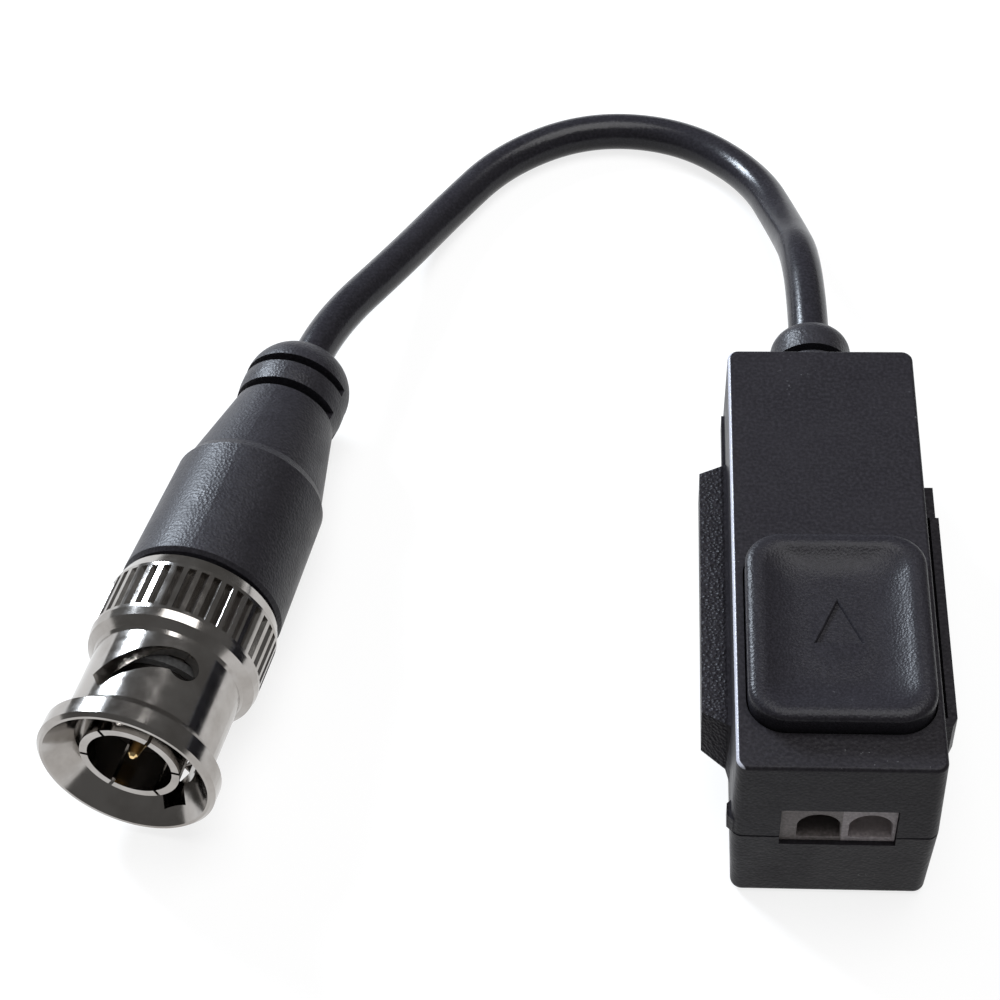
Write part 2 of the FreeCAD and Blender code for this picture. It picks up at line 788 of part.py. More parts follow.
def push_pad():
    """The dished pad that opens both terminals, with its legs, tabs and spring posts."""
    body = new_body("push_pad_body")
    block = new_sketch(body, "XY_Plane", "pad_block", pad_low)
    rectangle(block, pad_left, pad_right, pad_front, pad_rear)
    extrude(body, block, "Pad", pad_top - pad_low)
    dress(body, "Fillet", lambda at, way, edge: along_z(way), size.pad_corner)

    rim = size.pad_rim
    mouth = new_sketch(body, "XY_Plane", "dish_mouth", pad_top)
    rectangle(mouth, pad_left + rim, pad_right - rim, pad_front + rim, pad_rear - rim)
    side = rim + size.dish_side_slope
    end = rim + size.dish_end_slope
    floor = new_sketch(body, "XY_Plane", "dish_floor", pad_top - size.dish_depth)
    rectangle(floor, pad_left + side, pad_right - side, pad_front + end, pad_rear - end)
    dish = body.newObject("PartDesign::SubtractiveLoft", "dish")
    dish.Profile = mouth
    dish.Sections = [floor]
    dish.Ruled = True
    body.Tip = dish
    floor_height = pad_top - size.dish_depth
    dress(body, "Fillet", lambda at, way, edge: floor_height.value < at.z < pad_top.value - 0.1
          and abs(way.z) > 0.3, size.dish_corner)
    dress(body, "Fillet", lambda at, way, edge: near(at.z, floor_height), size.dish_floor_radius)
    dress(body, "Fillet", lambda at, way, edge: near(at.z, pad_top), size.pad_edge_radius)

    arrow = new_sketch(body, "XY_Plane", "arrow", floor_height)
    arrow_front = size.pad_middle + size.arrow_middle - size.arrow_length / 2
    outline(arrow, [
        (size.pad_shift - size.arrow_width / 2, arrow_front),
        (size.pad_shift + size.arrow_width / 2, arrow_front),
        (size.pad_shift, arrow_front + size.arrow_length),
    ])
    extrude(body, arrow, "Pocket", size.arrow_depth)

    hollow = new_sketch(body, "XY_Plane", "pad_hollow", pad_low)
    wall = size.pad_wall
    rectangle(hollow, pad_left + wall, pad_right - wall, pad_front + wall, pad_rear - wall)
    extrude(body, hollow, "Pocket", pad_crown_low - pad_low, backwards=True)
    tabs = new_sketch(body, "XY_Plane", "pad_tabs", pad_low)
    tab = size.pad_tab_width / 2
    rectangle(tabs, size.pad_shift - tab, size.pad_shift + tab,
              pad_front - size.pad_tab_reach, pad_front + wall)
    rectangle(tabs, size.pad_shift - tab, size.pad_shift + tab,
              pad_rear - wall, pad_rear + size.pad_tab_reach)
    extrude(body, tabs, "Pad", roof_low - size.pad_stop_gap - pad_low)
    leg_low = size.cage_top + size.strip_thickness / 2 + size.leg_gap
    legs = new_sketch(body, "XY_Plane", "pad_legs", leg_low)
    for name, entry in entries:
        rectangle(legs, entry - size.pad_leg_width / 2, entry + size.pad_leg_width / 2,
                  size.pad_leg_middle - size.pad_leg_length / 2,
                  size.pad_leg_middle + size.pad_leg_length / 2)
    extrude(body, legs, "Pad", pad_crown_low - leg_low)
    posts = new_sketch(body, "XY_Plane", "pad_posts", pad_crown_low)
    for side in (-1, 1):
        circle(posts, size.pad_shift + side * (half_pad - size.spring_inset), size.spring_middle,
               size.pad_post_radius)
    extrude(body, posts, "Pad", size.pad_post_length, backwards=True)
    return keep(body, "push_pad")


def pad_spring(name, side):
    """A coil spring between the board and the underside of the pad."""
    wire = size.spring_wire
    low = board_top + wire
    height = pad_crown_low - board_top - wire * 2
    pitch = height.value / size.spring_turns.value
    helix = Part.makeHelix(pitch, height.value, size.spring_radius.value)
    start = Vector(size.spring_radius.value, 0, 0)
    section = Part.Wire(Part.Circle(start, Vector(0, 1, 0), wire.value).toShape())
    coil = Part.Wire(helix.Edges).makePipeShell([section], True, True)
    item = shaped(name + "_coil", coil)
    item.Placement = Placement(vector(size.pad_shift + side * (half_pad - size.spring_inset),
                                      size.spring_middle, low), Rotation())
    return keep(item, name)


def circuit_board():
    """The board, with slots for the contact tails and holes for the transformer's pins."""
    body = new_body("circuit_board_body")
    sheet = new_sketch(body, "XY_Plane", "board_sheet", size.board_low)
    rectangle(sheet, -half_board, half_board,
              size.board_front, size.board_rear)
    extrude(body, sheet, "Pad", size.board_thickness)
    slots = new_sketch(body, "XY_Plane", "tail_slots", board_top)
    gap = size.tail_gap
    for name, entry in entries:
        rectangle(slots, entry - size.bar_width / 2 - gap, entry + size.bar_width / 2 + gap,
                  size.bar_rear - size.bar_thickness - gap, size.bar_rear + gap)
    extrude(body, slots, "Pocket", size.board_thickness)
    holes = new_sketch(body, "XY_Plane", "pin_holes", board_top)
    for x, y in transformer_pin_places():
        circle(holes, x, y, size.pin_radius + gap)
    extrude(body, holes, "Pocket", size.board_thickness)
    return keep(body, "circuit_board")


def terminal_block(name, left, right, entry):
    """One terminal: a nose in the window, an arched wire entry and an open cell behind it."""
    body = new_body(name + "_body")
    plan = new_sketch(body, "XY_Plane", name + "_plan", board_top)
    front = size.lower_wall + size.block_gap - half_length
    rectangle(plan, left, right, front, size.block_rear)
    extrude(body, plan, "Pad", size.block_top - board_top)
    nose = new_sketch(body, "XZ_Plane", name + "_nose", half_length - size.block_recess)
    rectangle(nose, left, right, size.window_low + size.window_gap,
              size.window_high - size.window_gap)
    extrude(body, nose, "Pad", size.lower_wall - size.block_recess + size.block_gap * 2,
            backwards=True)
    arch = new_sketch(body, "XZ_Plane", name + "_entry", half_length - size.block_recess)
    arched_entry(arch, entry)
    extrude(body, arch, "Pocket", size.cell_front + half_length - size.block_recess)
    cell = new_sketch(body, "XY_Plane", name + "_cell", size.block_top)
    rectangle(cell, entry - size.cell_width / 2, entry + size.cell_width / 2,
              size.cell_front, size.cell_rear)
    extrude(body, cell, "Pocket", size.block_top - size.cell_floor)
    slot = new_sketch(body, "XY_Plane", name + "_tail_slot", size.cell_floor)
    gap = size.tail_gap
    rectangle(slot, entry - size.bar_width / 2 - gap, entry + size.bar_width / 2 + gap,
              size.bar_rear - size.bar_thickness - gap, size.bar_rear + gap)
    extrude(body, slot, "Pocket", size.cell_floor - board_top)
    return keep(body, name)


def arched_entry(sketch, entry):
    """A wire entry with a flat sill, short sides and an arched top."""
    half = size.entry_width / 2
    spring_line = size.entry_low + size.entry_side_height
    outline(sketch, [
        (entry - half, size.entry_low),
        (entry + half, size.entry_low),
        (entry + half, spring_line),
        (entry - half, spring_line, dome_radius(size.entry_arch, half)),
    ])


def contact_bar(name, entry):
    """A flat contact bar with a tongue through the cage and a tail soldered into the board."""
    half = size.bar_width / 2
    tongue = size.bar_tongue_width / 2
    top = size.bar_low + size.bar_thickness
    tongue_rear = size.bar_front + size.bar_tongue_length
    bar = box(name + "_bar", (entry - half, tongue_rear, size.bar_low),
              (entry + half, size.bar_rear, top))
    tip = box(name + "_tongue", (entry - tongue, size.bar_front, size.bar_low),
              (entry + tongue, tongue_rear, top))
    tail = box(name + "_tail",
               (entry - half, size.bar_rear - size.bar_thickness, size.board_low - size.tail_foot),
               (entry + half, size.bar_rear, size.bar_low))
    return keep(fused(name + "_whole", [bar, tip, tail]), name)


def bent_strip(points, thickness, width, middle):
    """A sheet strip bent in a plane of constant x along points of (y, z)."""
    half = thickness / 2
    sides = {1: [], -1: []}
    for index, (y, z) in enumerate(points):
        before = points[max(index - 1, 0)]
        after = points[min(index + 1, len(points) - 1)]
        into = unit(y - before[0], z - before[1]) or unit(after[0] - y, after[1] - z)
        away = unit(after[0] - y, after[1] - z) or into
        normal = unit(-into[1] - away[1], into[0] + away[0])
        stretch = half / (normal[0] * -into[1] + normal[1] * into[0])
        for side in sides:
            sides[side].append((y + side * normal[0] * stretch, z + side * normal[1] * stretch))
    ring = sides[1] + sides[-1][::-1]
    corners = [Vector(middle - width / 2, y, z) for y, z in ring]
    face = Part.Face(Part.makePolygon(corners + corners[:1]))
    return face.extrude(Vector(width, 0, 0))


def unit(y, z):
    length = math.hypot(y, z)
    return (y / length, z / length) if length > 0 else None


def clamp_spring(name, entry):
    """A cage spring: foot on the contact bar, loop behind, and a windowed leg in front."""
    thickness = size.strip_thickness.value
    bar_top = size.bar_low.value + size.bar_thickness.value
    foot = bar_top + thickness / 2
    top = size.cage_top.value
    front = size.cage_front.value
    rear = size.cage_loop_rear.value
    middle = (foot + top) / 2
    reach = (top - foot) / 2
    loop = [(rear - reach + reach * math.cos(math.radians(a)),
             middle + reach * math.sin(math.radians(a))) for a in range(-90, 91, 30)]
    bend = size.strip_thickness.value
    path = [(size.cage_foot_front.value, foot)] + loop + [
        (front + bend, top), (front, top - bend), (front, size.cage_low.value)]
    strip = bent_strip(path, thickness, size.bar_width.value, entry.value)
    window = Part.makeBox(size.cage_window_width.value, thickness * 4,
                          size.cage_window_high.value - size.cage_window_low.value)
    window.translate(vector(entry - size.cage_window_width / 2, front - thickness * 2,
                            size.cage_window_low))
    return keep(shaped(name + "_strip", strip.cut(window)), name)


def transformer_pin_places():
    rows = (size.core_middle - size.core_length / 2, size.core_middle + size.core_length / 2)
    return [(column * size.pin_pitch, row) for row in rows for column in (-1, 0, 1)]


def transformer():
    """The balun transformer: ferrite frame, bobbin on a pinned base, and its winding."""
    mid = size.core_middle
    half_core = size.core_width / 2
    half_span = size.core_length / 2
    leg = size.core_leg / 2
    core_top = size.core_low + size.core_height
    inner = half_span - size.core_yoke
    frame = box("core_block", (-half_core, mid - half_span, size.core_low),
                (half_core, mid + half_span, core_top))
    windows = []
    for side in (-1, 1):
        near_side = side * leg
        far_side = side * (half_core - size.core_limb)
        low, high = (near_side, far_side) if side > 0 else (far_side, near_side)
        windows.append(box("core_window", (low, mid - inner, size.core_low),
                           (high, mid + inner, core_top)))
    keep(cut("core_frame", frame, fused("core_windows", windows)), "transformer_core")

    gap = size.fit_gap
    wall = size.bobbin_wall
    tube_in = leg + gap
    tube_out = tube_in + wall
    tube_low_out = size.core_low - gap - wall
    tube_top_out = core_top + gap + wall
    base_top = board_top + size.bobbin_base
    half_bobbin = inner - gap
    flange = half_core - size.core_limb - gap
    base = box("bobbin_base_plate", (-half_core, mid - half_span - size.core_yoke / 2, board_top),
               (half_core, mid + half_span + size.core_yoke / 2, base_top))
    tube = box("bobbin_tube", (-tube_out, mid - half_bobbin, tube_low_out),
               (tube_out, mid + half_bobbin, tube_top_out))
    ends = []
    for side in (-1, 1):
        outer_face = mid + side * half_bobbin
        inner_face = mid + side * (half_bobbin - size.bobbin_flange)
        low, high = (inner_face, outer_face) if side > 0 else (outer_face, inner_face)
        ends.append(box("bobbin_end", (-flange, low, base_top),
                        (flange, high, tube_top_out + size.winding_build)))
    hole = box("bobbin_hole", (-tube_in, mid - half_span, size.core_low - gap),
               (tube_in, mid + half_span, core_top + gap))
    solid = fused("bobbin_solid", [base, tube] + ends)
    keep(cut("bobbin_whole", solid, hole), "transformer_bobbin")

    span = half_bobbin - size.bobbin_flange - gap
    build = size.winding_build
    outer = box("winding_outer", (-tube_out - build, mid - span, tube_low_out - build + gap),
                (tube_out + build, mid + span, tube_top_out + build))
    inside = box("winding_inside", (-tube_out - gap, mid - span, tube_low_out - gap),
                 (tube_out + gap, mid + span, tube_top_out + gap))
    keep(cut("winding_whole", outer, inside), "transformer_winding")
    pins = [rod("transformer_pin", size.pin_radius, (x, y, size.board_low - size.tail_foot),
                (x, y, board_top)) for x, y in transformer_pin_places()]
    keep(gathered("pin_group", pins), "transformer_pins")


def small_parts():
    """The surge protector and the two chip capacitors on the board."""
    mid = size.surge_middle
    surge = box("surge_box", (-size.surge_width / 2, mid - size.surge_length / 2, board_top),
                (size.surge_width / 2, mid + size.surge_length / 2, board_top + size.surge_height))
    keep(surge, "surge_protector")
    chips = []
    for side in (-1, 1):
        x = side * (half_board - size.chip_inset)
        chips.append(box("chip", (x - size.chip_width / 2, size.chip_middle, board_top),
                         (x + size.chip_width / 2, size.chip_middle + size.chip_length,
                          board_top + size.chip_height)))
    keep(gathered("chip_group", chips), "chip_capacitors")


def cable_gland():
    """The moulded strain relief: inner flange, neck in the wall, two rings and a dome."""
    body = new_body("cable_gland_body")
    profile = new_sketch(body, "XY_Plane", "gland_profile")
    bore = size.cable_radius
    inner = half_length - size.lower_wall - size.fit_gap
    ring = size.gland_ring_radius
    mouth = bore + size.moulded_lip
    dome_edge = gland_dome + size.gland_dome_straight
    outline(profile, [
        (bore, inner - size.gland_flange_thickness),
        (size.gland_flange_radius, inner - size.gland_flange_thickness),
        (size.gland_flange_radius, inner),
        (size.gland_neck_radius, inner),
        (size.gland_neck_radius, half_length + size.gland_ring_gap),
        (ring, half_length + size.gland_ring_gap),
        (ring, dome_edge),
        (mouth, gland_end, dome_radius(ring - mouth, gland_end - dome_edge)),
        (bore, gland_end),
    ])
    turn(body, profile)
    open_angle = 180 - size.gland_bridge
    groove_depth = size.gland_groove_radius
    for name, start in (("first", gland_first_groove), ("second", gland_second_groove)):
        ring_cut = new_sketch(body, "XY_Plane", "gland_%s_groove" % name)
        rectangle(ring_cut, groove_depth, ring + 1, start, start + size.gland_groove_width)
        groove = turn(body, ring_cut, "Groove", open_angle)
        groove.Midplane = True
        repeat_round(body, groove, 2)
    body.Placement = Placement(vector(0, 0, size.gland_height), Rotation(Vector(0, 1, 0), -90))
    bind(body, "Placement.Base.z", size.gland_height)
    return keep(body, "cable_gland")


def cable_ends():
    """The cable's hidden stretches: through the gland, its stripped tails, and in the plug."""
    height = size.gland_height
    keep(rod("jacket_in_gland", size.cable_radius, (0, size.tail_end, height),
             (0, gland_end, height)), "cable_end_housing")
    keep(bent_wire("core_in_housing", size.core_radius, [
        (0, size.tail_end, height),
        (0, size.core_landing, height),
        (0, size.core_landing, board_top),
    ]), "cable_core_tail")
    beside = size.core_radius + size.braid_radius
    keep(bent_wire("braid_in_housing", size.braid_radius, [
        (-beside, size.tail_end, height),
        (-beside, size.core_landing, height),
        (-beside - size.braid_spread, size.braid_landing, height),
        (-beside - size.braid_spread, size.braid_landing, board_top),
    ]), "cable_braid_tail")


def bent_wire(name, radius, points):
    """A round wire along straight runs joined by tangent arcs."""
    spots = [tuple(vector(*point)) for point in points]
    path, radii = arc_path(spots)
    along = Vector(*spots[1]) - Vector(*spots[0])
    section = Part.Circle(Vector(*spots[0]), along, radius.value)
    return shaped(name, path.makePipeShell([Part.Wire(section.toShape())], True, False))


def arc_path(points):
    """Straight runs joined by tangent arcs, each as large as its two runs allow."""
    corners = [Vector(*point) for point in points]
    edges = []
    radii = []
    start = corners[0]
    for before, corner, after in zip(corners, corners[1:], corners[2:]):
        into = corner - before
        away = after - corner
        reach = 0.45 * min(into.Length, away.Length)
        half_turn = into.getAngle(away) / 2
        radius = reach / math.tan(half_turn)
        into.normalize()
        away.normalize()
        first = corner - into * reach
        last = corner + away * reach
        inward = away - into
        inward.normalize()
        middle = corner + inward * (radius / math.cos(half_turn) - radius)
        edges.append(Part.LineSegment(start, first).toShape())
        edges.append(Part.Arc(first, middle, last).toShape())
        radii.append(round(radius, 1))
        start = last
    edges.append(Part.LineSegment(start, corners[-1]).toShape())
    return Part.Wire(edges), radii


def pigtail_cable():
    """The free stretch of cable, from the end of the gland to the end of the boot."""
    exit_point = (0, gland_end.value, size.gland_height.value)
    plug_end = plug_placement().multVec(vector(0, size.boot_length))
    path, radii = arc_path([exit_point] + CABLE_ROUTE + [tuple(plug_end)])
    section = Part.Circle(Vector(*exit_point), Vector(0, 1, 0), size.cable_radius.value)
    tube = path.makePipeShell([Part.Wire(section.toShape())], True, False)
    expected = math.pi * size.cable_radius.value ** 2 * path.Length
    print("cable length %.1f, radii %s" % (path.Length, radii))
    print("cable volume %.1f, section times length %.1f" % (tube.Volume, expected))
    return keep(shaped("free_cable", tube), "pigtail_cable")


def plug_placement():
    turned_aside = Rotation(Vector(0, 0, -1), size.plug_turn.value)
    dipped = Rotation(Vector(-1, 0, 0), size.plug_dip.value)
    return Placement(vector(size.plug_x, size.plug_y, plug_axis_height),
                     turned_aside.multiply(dipped))


def set_in_plug(item, name):
    """Put a piece drawn in the plug's own frame where the plug lies."""
    item.Placement = plug_placement()
    for path, number in (("x", size.plug_x), ("y", size.plug_y), ("z", plug_axis_height)):
        bind(item, "Placement.Base." + path, number)
    return keep(item, name)


def turned(name, corners):
    """A body turned about the plug's axis from an outline of (radius, station) corners."""
    body = new_body(name + "_body")
    profile = new_sketch(body, "XY_Plane", name + "_profile")
    outline(profile, corners)
    turn(body, profile)
    return body


def coupling_nut():
    """The bayonet nut: rim, slotted barrel, collar, knurled grip and a chamber for its spring."""
    chamber_front = size.flange_front - size.shoulder_gap
    knurl_rear = size.knurl_front + size.knurl_length
    land = size.knurl_radius
    ring_front = size.washer_front + size.washer_thickness + size.washer_gap
    ring_rear = ring_front + size.ring_thickness
    gap = size.fit_gap
    groove_radius = size.nut_chamber_radius + size.ring_bite + gap
    edge = size.top_edge_radius
    body = turned("coupling_nut", [
        (size.nut_mouth_radius, 0),
        (size.nut_radius - edge, 0),
        (size.nut_radius, edge),
        (size.nut_radius, size.nut_rim),
        (size.nut_barrel_radius, size.nut_rim + (size.nut_radius - size.nut_barrel_radius)),
        (size.nut_barrel_radius, size.nut_collar_front),
        (size.nut_barrel_radius + size.nut_collar_step, size.nut_collar_front + edge),
        (size.nut_collar_radius, size.nut_collar_rear),
        (land, size.knurl_front - edge),
        (land, knurl_rear + edge),
        (land - edge, size.nut_length),
        (size.nut_chamber_radius, size.nut_length),
        (size.nut_chamber_radius, ring_rear + gap),
        (groove_radius, ring_rear + gap),
        (groove_radius, ring_front - gap),
        (size.nut_chamber_radius, ring_front - gap),
        (size.nut_chamber_radius, chamber_front),
        (size.nut_bore_radius, chamber_front),
        (size.nut_bore_radius, size.nut_mouth_depth),
    ])
    notch = new_sketch(body, "XZ_Plane", "knurl_notch", -size.knurl_front)
    half = size.knurl_depth * 0.9
    outline(notch, [
        (-half, land + size.knurl_depth * 0.1),
        (0, land - size.knurl_depth),
        (half, land + size.knurl_depth * 0.1),
    ])
    groove = extrude(body, notch, "Pocket", size.knurl_length)
    repeat_round(body, groove, size.knurl_count)
    doc.recompute()
    slotted = body.Shape.cut(bayonet_slots())
    return set_in_plug(shaped("coupling_nut_slotted", slotted), "coupling_nut")


def bayonet_slots():
    """Cutters for the two bayonet slots: an entry inside the bore, a ramp and a round seat."""
    reach = size.nut_radius.value + 1
    inner = size.nut_bore_radius.value - 0.5
    steps = 10
    half = size.slot_width.value / 2
    start_turn = size.slot_start_turn.value
    end_turn = size.slot_end_turn.value
    sweep = end_turn - start_turn
    around = math.radians(sweep) * size.nut_barrel_radius.value
    sections = []
    for index in range(steps + 1):
        share = index / steps
        station = size.slot_start.value + size.slot_rise.value * share * (2 - share)
        climb = size.slot_rise.value * (2 - 2 * share)
        sections.append(slot_section(inner, reach, half, start_turn + sweep * share, station,
                                     math.atan2(climb, around)))
    cutters = [Part.makeLoft(sections, True, True)]
    cutters.append(radial_drill(half * 1.03, inner, reach, start_turn, size.slot_start.value))
    seat_station = size.slot_start.value + size.slot_rise.value - 0.3
    cutters.append(radial_drill(size.slot_seat_radius.value, inner, reach, end_turn,
                                seat_station))
    entry = Part.makeBox(size.slot_entry_width.value, size.slot_start.value + 1,
                         size.slot_entry_radius.value - inner)
    entry.translate(Vector(-size.slot_entry_width.value / 2, -1, inner))
    entry.rotate(Vector(0, 0, 0), Vector(0, 1, 0), -start_turn)
    cutters.append(entry)
    one = cutters[0].fuse(cutters[1:])
    other = one.copy()
    other.rotate(Vector(0, 0, 0), Vector(0, 1, 0), 180)
    return [one, other]


def slot_section(inner, reach, half, turned_by, station, heading):
    """A radial slice across a slot, square to the way that the slot runs there."""
    angle = math.radians(turned_by)
    outward = Vector(-math.sin(angle), 0, math.cos(angle))
    around = Vector(-math.cos(angle), 0, -math.sin(angle))
    across = around * -math.sin(heading) + Vector(0, math.cos(heading), 0)
    low = outward * inner + Vector(0, station, 0)
    high = outward * reach + Vector(0, station, 0)
    ring = [low - across * half, high - across * half, high + across * half, low + across * half]
    return Part.makePolygon(ring + ring[:1])


def radial_drill(radius, inner, reach, turned_by, station):
    """A cylinder standing radially on the plug's axis, turned leftwards from the top."""
    drill = Part.makeCylinder(radius, reach - inner, Vector(0, station, inner), Vector(0, 0, 1))
    drill.rotate(Vector(0, 0, 0), Vector(0, 1, 0), -turned_by)
    return drill


def plug_pieces():
    """Everything in the plug but the nut and the boot."""
    gap = size.fit_gap
    flange = size.nut_chamber_radius - size.running_gap
    flange_rear = size.flange_front + size.flange_thickness
    set_in_plug(turned("plug_body", [
        (size.sleeve_radius + gap, size.body_front),
        (size.body_front_radius, size.body_front),
        (size.body_front_radius, size.flange_front),
        (flange, size.flange_front),
        (flange, flange_rear),
        (size.body_barrel_radius, flange_rear),
        (size.body_barrel_radius, size.body_barrel_rear),
        (size.crimp_neck_radius, size.body_barrel_rear),
        (size.crimp_neck_radius, size.crimp_neck_rear),
        (size.crimp_neck_bore, size.crimp_neck_rear),
        (size.crimp_neck_bore, size.insulator_rear + size.bobbin_base),
        (size.sleeve_bore - size.bobbin_base, size.insulator_rear + size.bobbin_base),
        (size.sleeve_bore - size.bobbin_base, size.insulator_rear + gap),
        (size.sleeve_bore, size.insulator_rear + gap),
        (size.sleeve_bore, size.sleeve_rear + gap),
        (size.sleeve_radius + gap, size.sleeve_rear + gap),
    ]), "plug_body")

    sleeve = turned("contact_sleeve", [
        (size.sleeve_bore, size.sleeve_front),
        (size.sleeve_radius, size.sleeve_front),
        (size.sleeve_radius, size.sleeve_rear),
        (size.sleeve_bore, size.sleeve_rear),
    ])
    slit = new_sketch(sleeve, "XZ_Plane", "sleeve_slit", -size.sleeve_front)
    half = size.slit_width / 2
    rectangle(slit, -half, half, size.sleeve_bore - half, size.sleeve_radius + half)
    opened = extrude(sleeve, slit, "Pocket", size.slit_rear - size.sleeve_front)
    repeat_round(sleeve, opened, 6)
    set_in_plug(sleeve, "contact_sleeve")
    turned_slits = Rotation(Vector(0, 1, 0), -size.slit_turn.value)
    sleeve.Placement = plug_placement().multiply(Placement(Vector(), turned_slits))

    set_in_plug(turned("plug_insulator", [
        (size.contact_radius + gap, size.insulator_front),
        (size.sleeve_bore - gap, size.insulator_front),
        (size.sleeve_bore - gap, size.insulator_rear),
        (size.contact_radius + gap, size.insulator_rear),
    ]), "plug_insulator")
    tip = size.contact_tip
    set_in_plug(turned("centre_contact", [
        (0, tip),
        (size.contact_tip_radius / 2, tip),
        (size.contact_tip_radius, tip + size.contact_tip_radius / 2),
        (size.contact_radius, tip + size.contact_radius * 2),
        (size.contact_radius, size.insulator_rear + gap),
        (size.contact_tail_radius, size.insulator_rear + gap),
        (size.contact_tail_radius, size.insulator_rear + size.bobbin_base - gap),
        (0, size.insulator_rear + size.bobbin_base - gap),
    ]), "centre_contact")
    set_in_plug(turned("sealing_gasket", [
        (size.sleeve_radius + size.gasket_gap, size.body_front - size.gasket_thickness),
        (size.nut_bore_radius - size.gasket_gap * 3, size.body_front - size.gasket_thickness),
        (size.nut_bore_radius - size.gasket_gap * 3, size.body_front),
        (size.sleeve_radius + size.gasket_gap, size.body_front),
    ]), "sealing_gasket")

    inner = size.body_barrel_radius + size.gasket_gap
    outer = size.nut_chamber_radius - size.washer_gap
    washer_rear = size.washer_front + size.washer_thickness
    set_in_plug(turned("thrust_washer", [
        (inner, size.washer_front),
        (outer, size.washer_front),
        (outer, washer_rear),
        (inner, washer_rear),
    ]), "thrust_washer")
    thin = size.disc_thickness
    set_in_plug(turned("spring_washer", [
        (inner + size.washer_gap, flange_rear + gap),
        (inner + size.washer_gap, flange_rear + gap + thin),
        (outer - size.washer_gap, size.washer_front - gap),
        (outer - size.washer_gap, size.washer_front - gap - thin),
    ]), "spring_washer")

    ring_front = washer_rear + size.washer_gap
    ring = turned("retaining_ring", [
        (inner + size.ring_bite, ring_front),
        (size.nut_chamber_radius + size.ring_bite, ring_front),
        (size.nut_chamber_radius + size.ring_bite, ring_front + size.ring_thickness),
        (inner + size.ring_bite, ring_front + size.ring_thickness),
    ])
    opening = new_sketch(ring, "XZ_Plane", "ring_opening", -ring_front)
    half = size.ring_opening / 2
    rectangle(opening, -half, half, inner - size.ring_bite, size.nut_radius)
    extrude(ring, opening, "Pocket", size.ring_thickness)
    set_in_plug(ring, "retaining_ring")

    set_in_plug(turned("crimp_ferrule", [
        (size.ferrule_bore, size.ferrule_front),
        (size.ferrule_radius, size.ferrule_front),
        (size.ferrule_radius, size.ferrule_rear),
        (size.ferrule_bore, size.ferrule_rear),
    ]), "crimp_ferrule")
    set_in_plug(turned("cable_core_plug", [
        (0, size.insulator_rear + size.bobbin_base),
        (size.core_radius, size.insulator_rear + size.bobbin_base),
        (size.core_radius, size.ferrule_rear + gap),
        (0, size.ferrule_rear + gap),
    ]), "cable_core_plug")
    set_in_plug(turned("cable_end_plug", [
        (0, size.ferrule_rear + gap),
        (size.cable_radius, size.ferrule_rear + gap),
        (size.cable_radius, size.boot_length),
        (0, size.boot_length),
    ]), "cable_end_plug")


def strain_relief_boot():
    """The moulded boot: nose inside the nut, straight grip, cone, two slotted grooves, dome."""
    gap = size.fit_gap
    first = size.boot_neck
    second = first + size.boot_groove_width + size.boot_ring_width
    dome = second + size.boot_groove_width
    bore = size.cable_radius
    ring = size.boot_ring_radius
    mouth = bore + size.moulded_lip
    edge = size.boot_edge_radius
    ferrule = size.ferrule_radius + gap
    body = turned("strain_relief_boot", [
        (size.body_barrel_radius + gap, size.boot_nose_front),
        (size.boot_nose_radius, size.boot_nose_front),
        (size.boot_nose_radius, size.boot_front),
        (size.boot_radius - edge, size.boot_front),
        (size.boot_radius, size.boot_front + edge),
        (size.boot_shoulder_radius, size.boot_shoulder),
        (size.boot_step_radius, size.boot_step),
        (size.boot_neck_radius, first),
        (ring, second - size.boot_ring_width / 2),
        (ring, dome),
        (mouth, size.boot_length, dome_radius(ring - mouth, size.boot_length - dome)),
        (bore, size.boot_length),
        (bore, size.ferrule_rear + gap),
        (ferrule, size.ferrule_rear + gap),
        (ferrule, size.body_barrel_rear + gap),
        (size.body_barrel_radius + gap, size.body_barrel_rear + gap),
    ])
    open_angle = 180 - size.boot_bridge
    for name, start in (("first", first), ("second", second)):
        ring_cut = new_sketch(body, "XY_Plane", "boot_%s_groove" % name)
        rectangle(ring_cut, size.boot_groove_radius, ring + 1, start,
                  start + size.boot_groove_width)
        groove = turn(body, ring_cut, "Groove", open_angle)
        groove.Midplane = True
        repeat_round(body, groove, 2)
    set_in_plug(body, "strain_relief_boot")
    body.Placement = plug_placement().multiply(
        Placement(Vector(), Rotation(Vector(0, 1, 0), -90)))


def check_document():
    """Stop unless every object recomputed and every sub-part has a sound shape."""
    doc.recompute()
    for item in doc.Objects:
        if "Invalid" in item.State or "Error" in item.State:
            raise RuntimeError("failed object: " + item.Name)
    for item in nodes:
        if item.Shape.isNull() or not item.Shape.isValid():
            raise RuntimeError("unsound shape: " + item.Label)


upper_shell()
lower_shell()
push_pad()
pad_spring("pad_spring_left", -1)
pad_spring("pad_spring_right", 1)
circuit_board()
terminal_block("terminal_block_left", window_left + size.window_gap, size.block_split,
               size.entry_left)
terminal_block("terminal_block_right", size.block_split, window_right - size.window_gap,
               size.entry_right)
for side_name, side_entry in entries:
    contact_bar("contact_bar_" + side_name, side_entry)
    clamp_spring("clamp_spring_" + side_name, side_entry)
transformer()
small_parts()
cable_gland()
cable_ends()
pigtail_cable()
coupling_nut()
plug_pieces()
strain_relief_boot()
check_document()
os.makedirs("parts", exist_ok=True)
for node in nodes:
    node.Shape.exportStep("parts/%s.step" % node.Label)
    print("%s volume %.2f solids %d" % (node.Label, node.Shape.Volume, len(node.Shape.Solids)))
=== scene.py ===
"""Looks of a passive video balun: black textured housing, coaxial pigtail, nickel bayonet plug.

Metres, in the part's own frame: the origin is the centre of the housing's underside, +Z is up and
+Y runs from the wire terminals to the cable gland.
"""
import json
import math

import bmesh
import bpy
from mathutils import Matrix, Vector


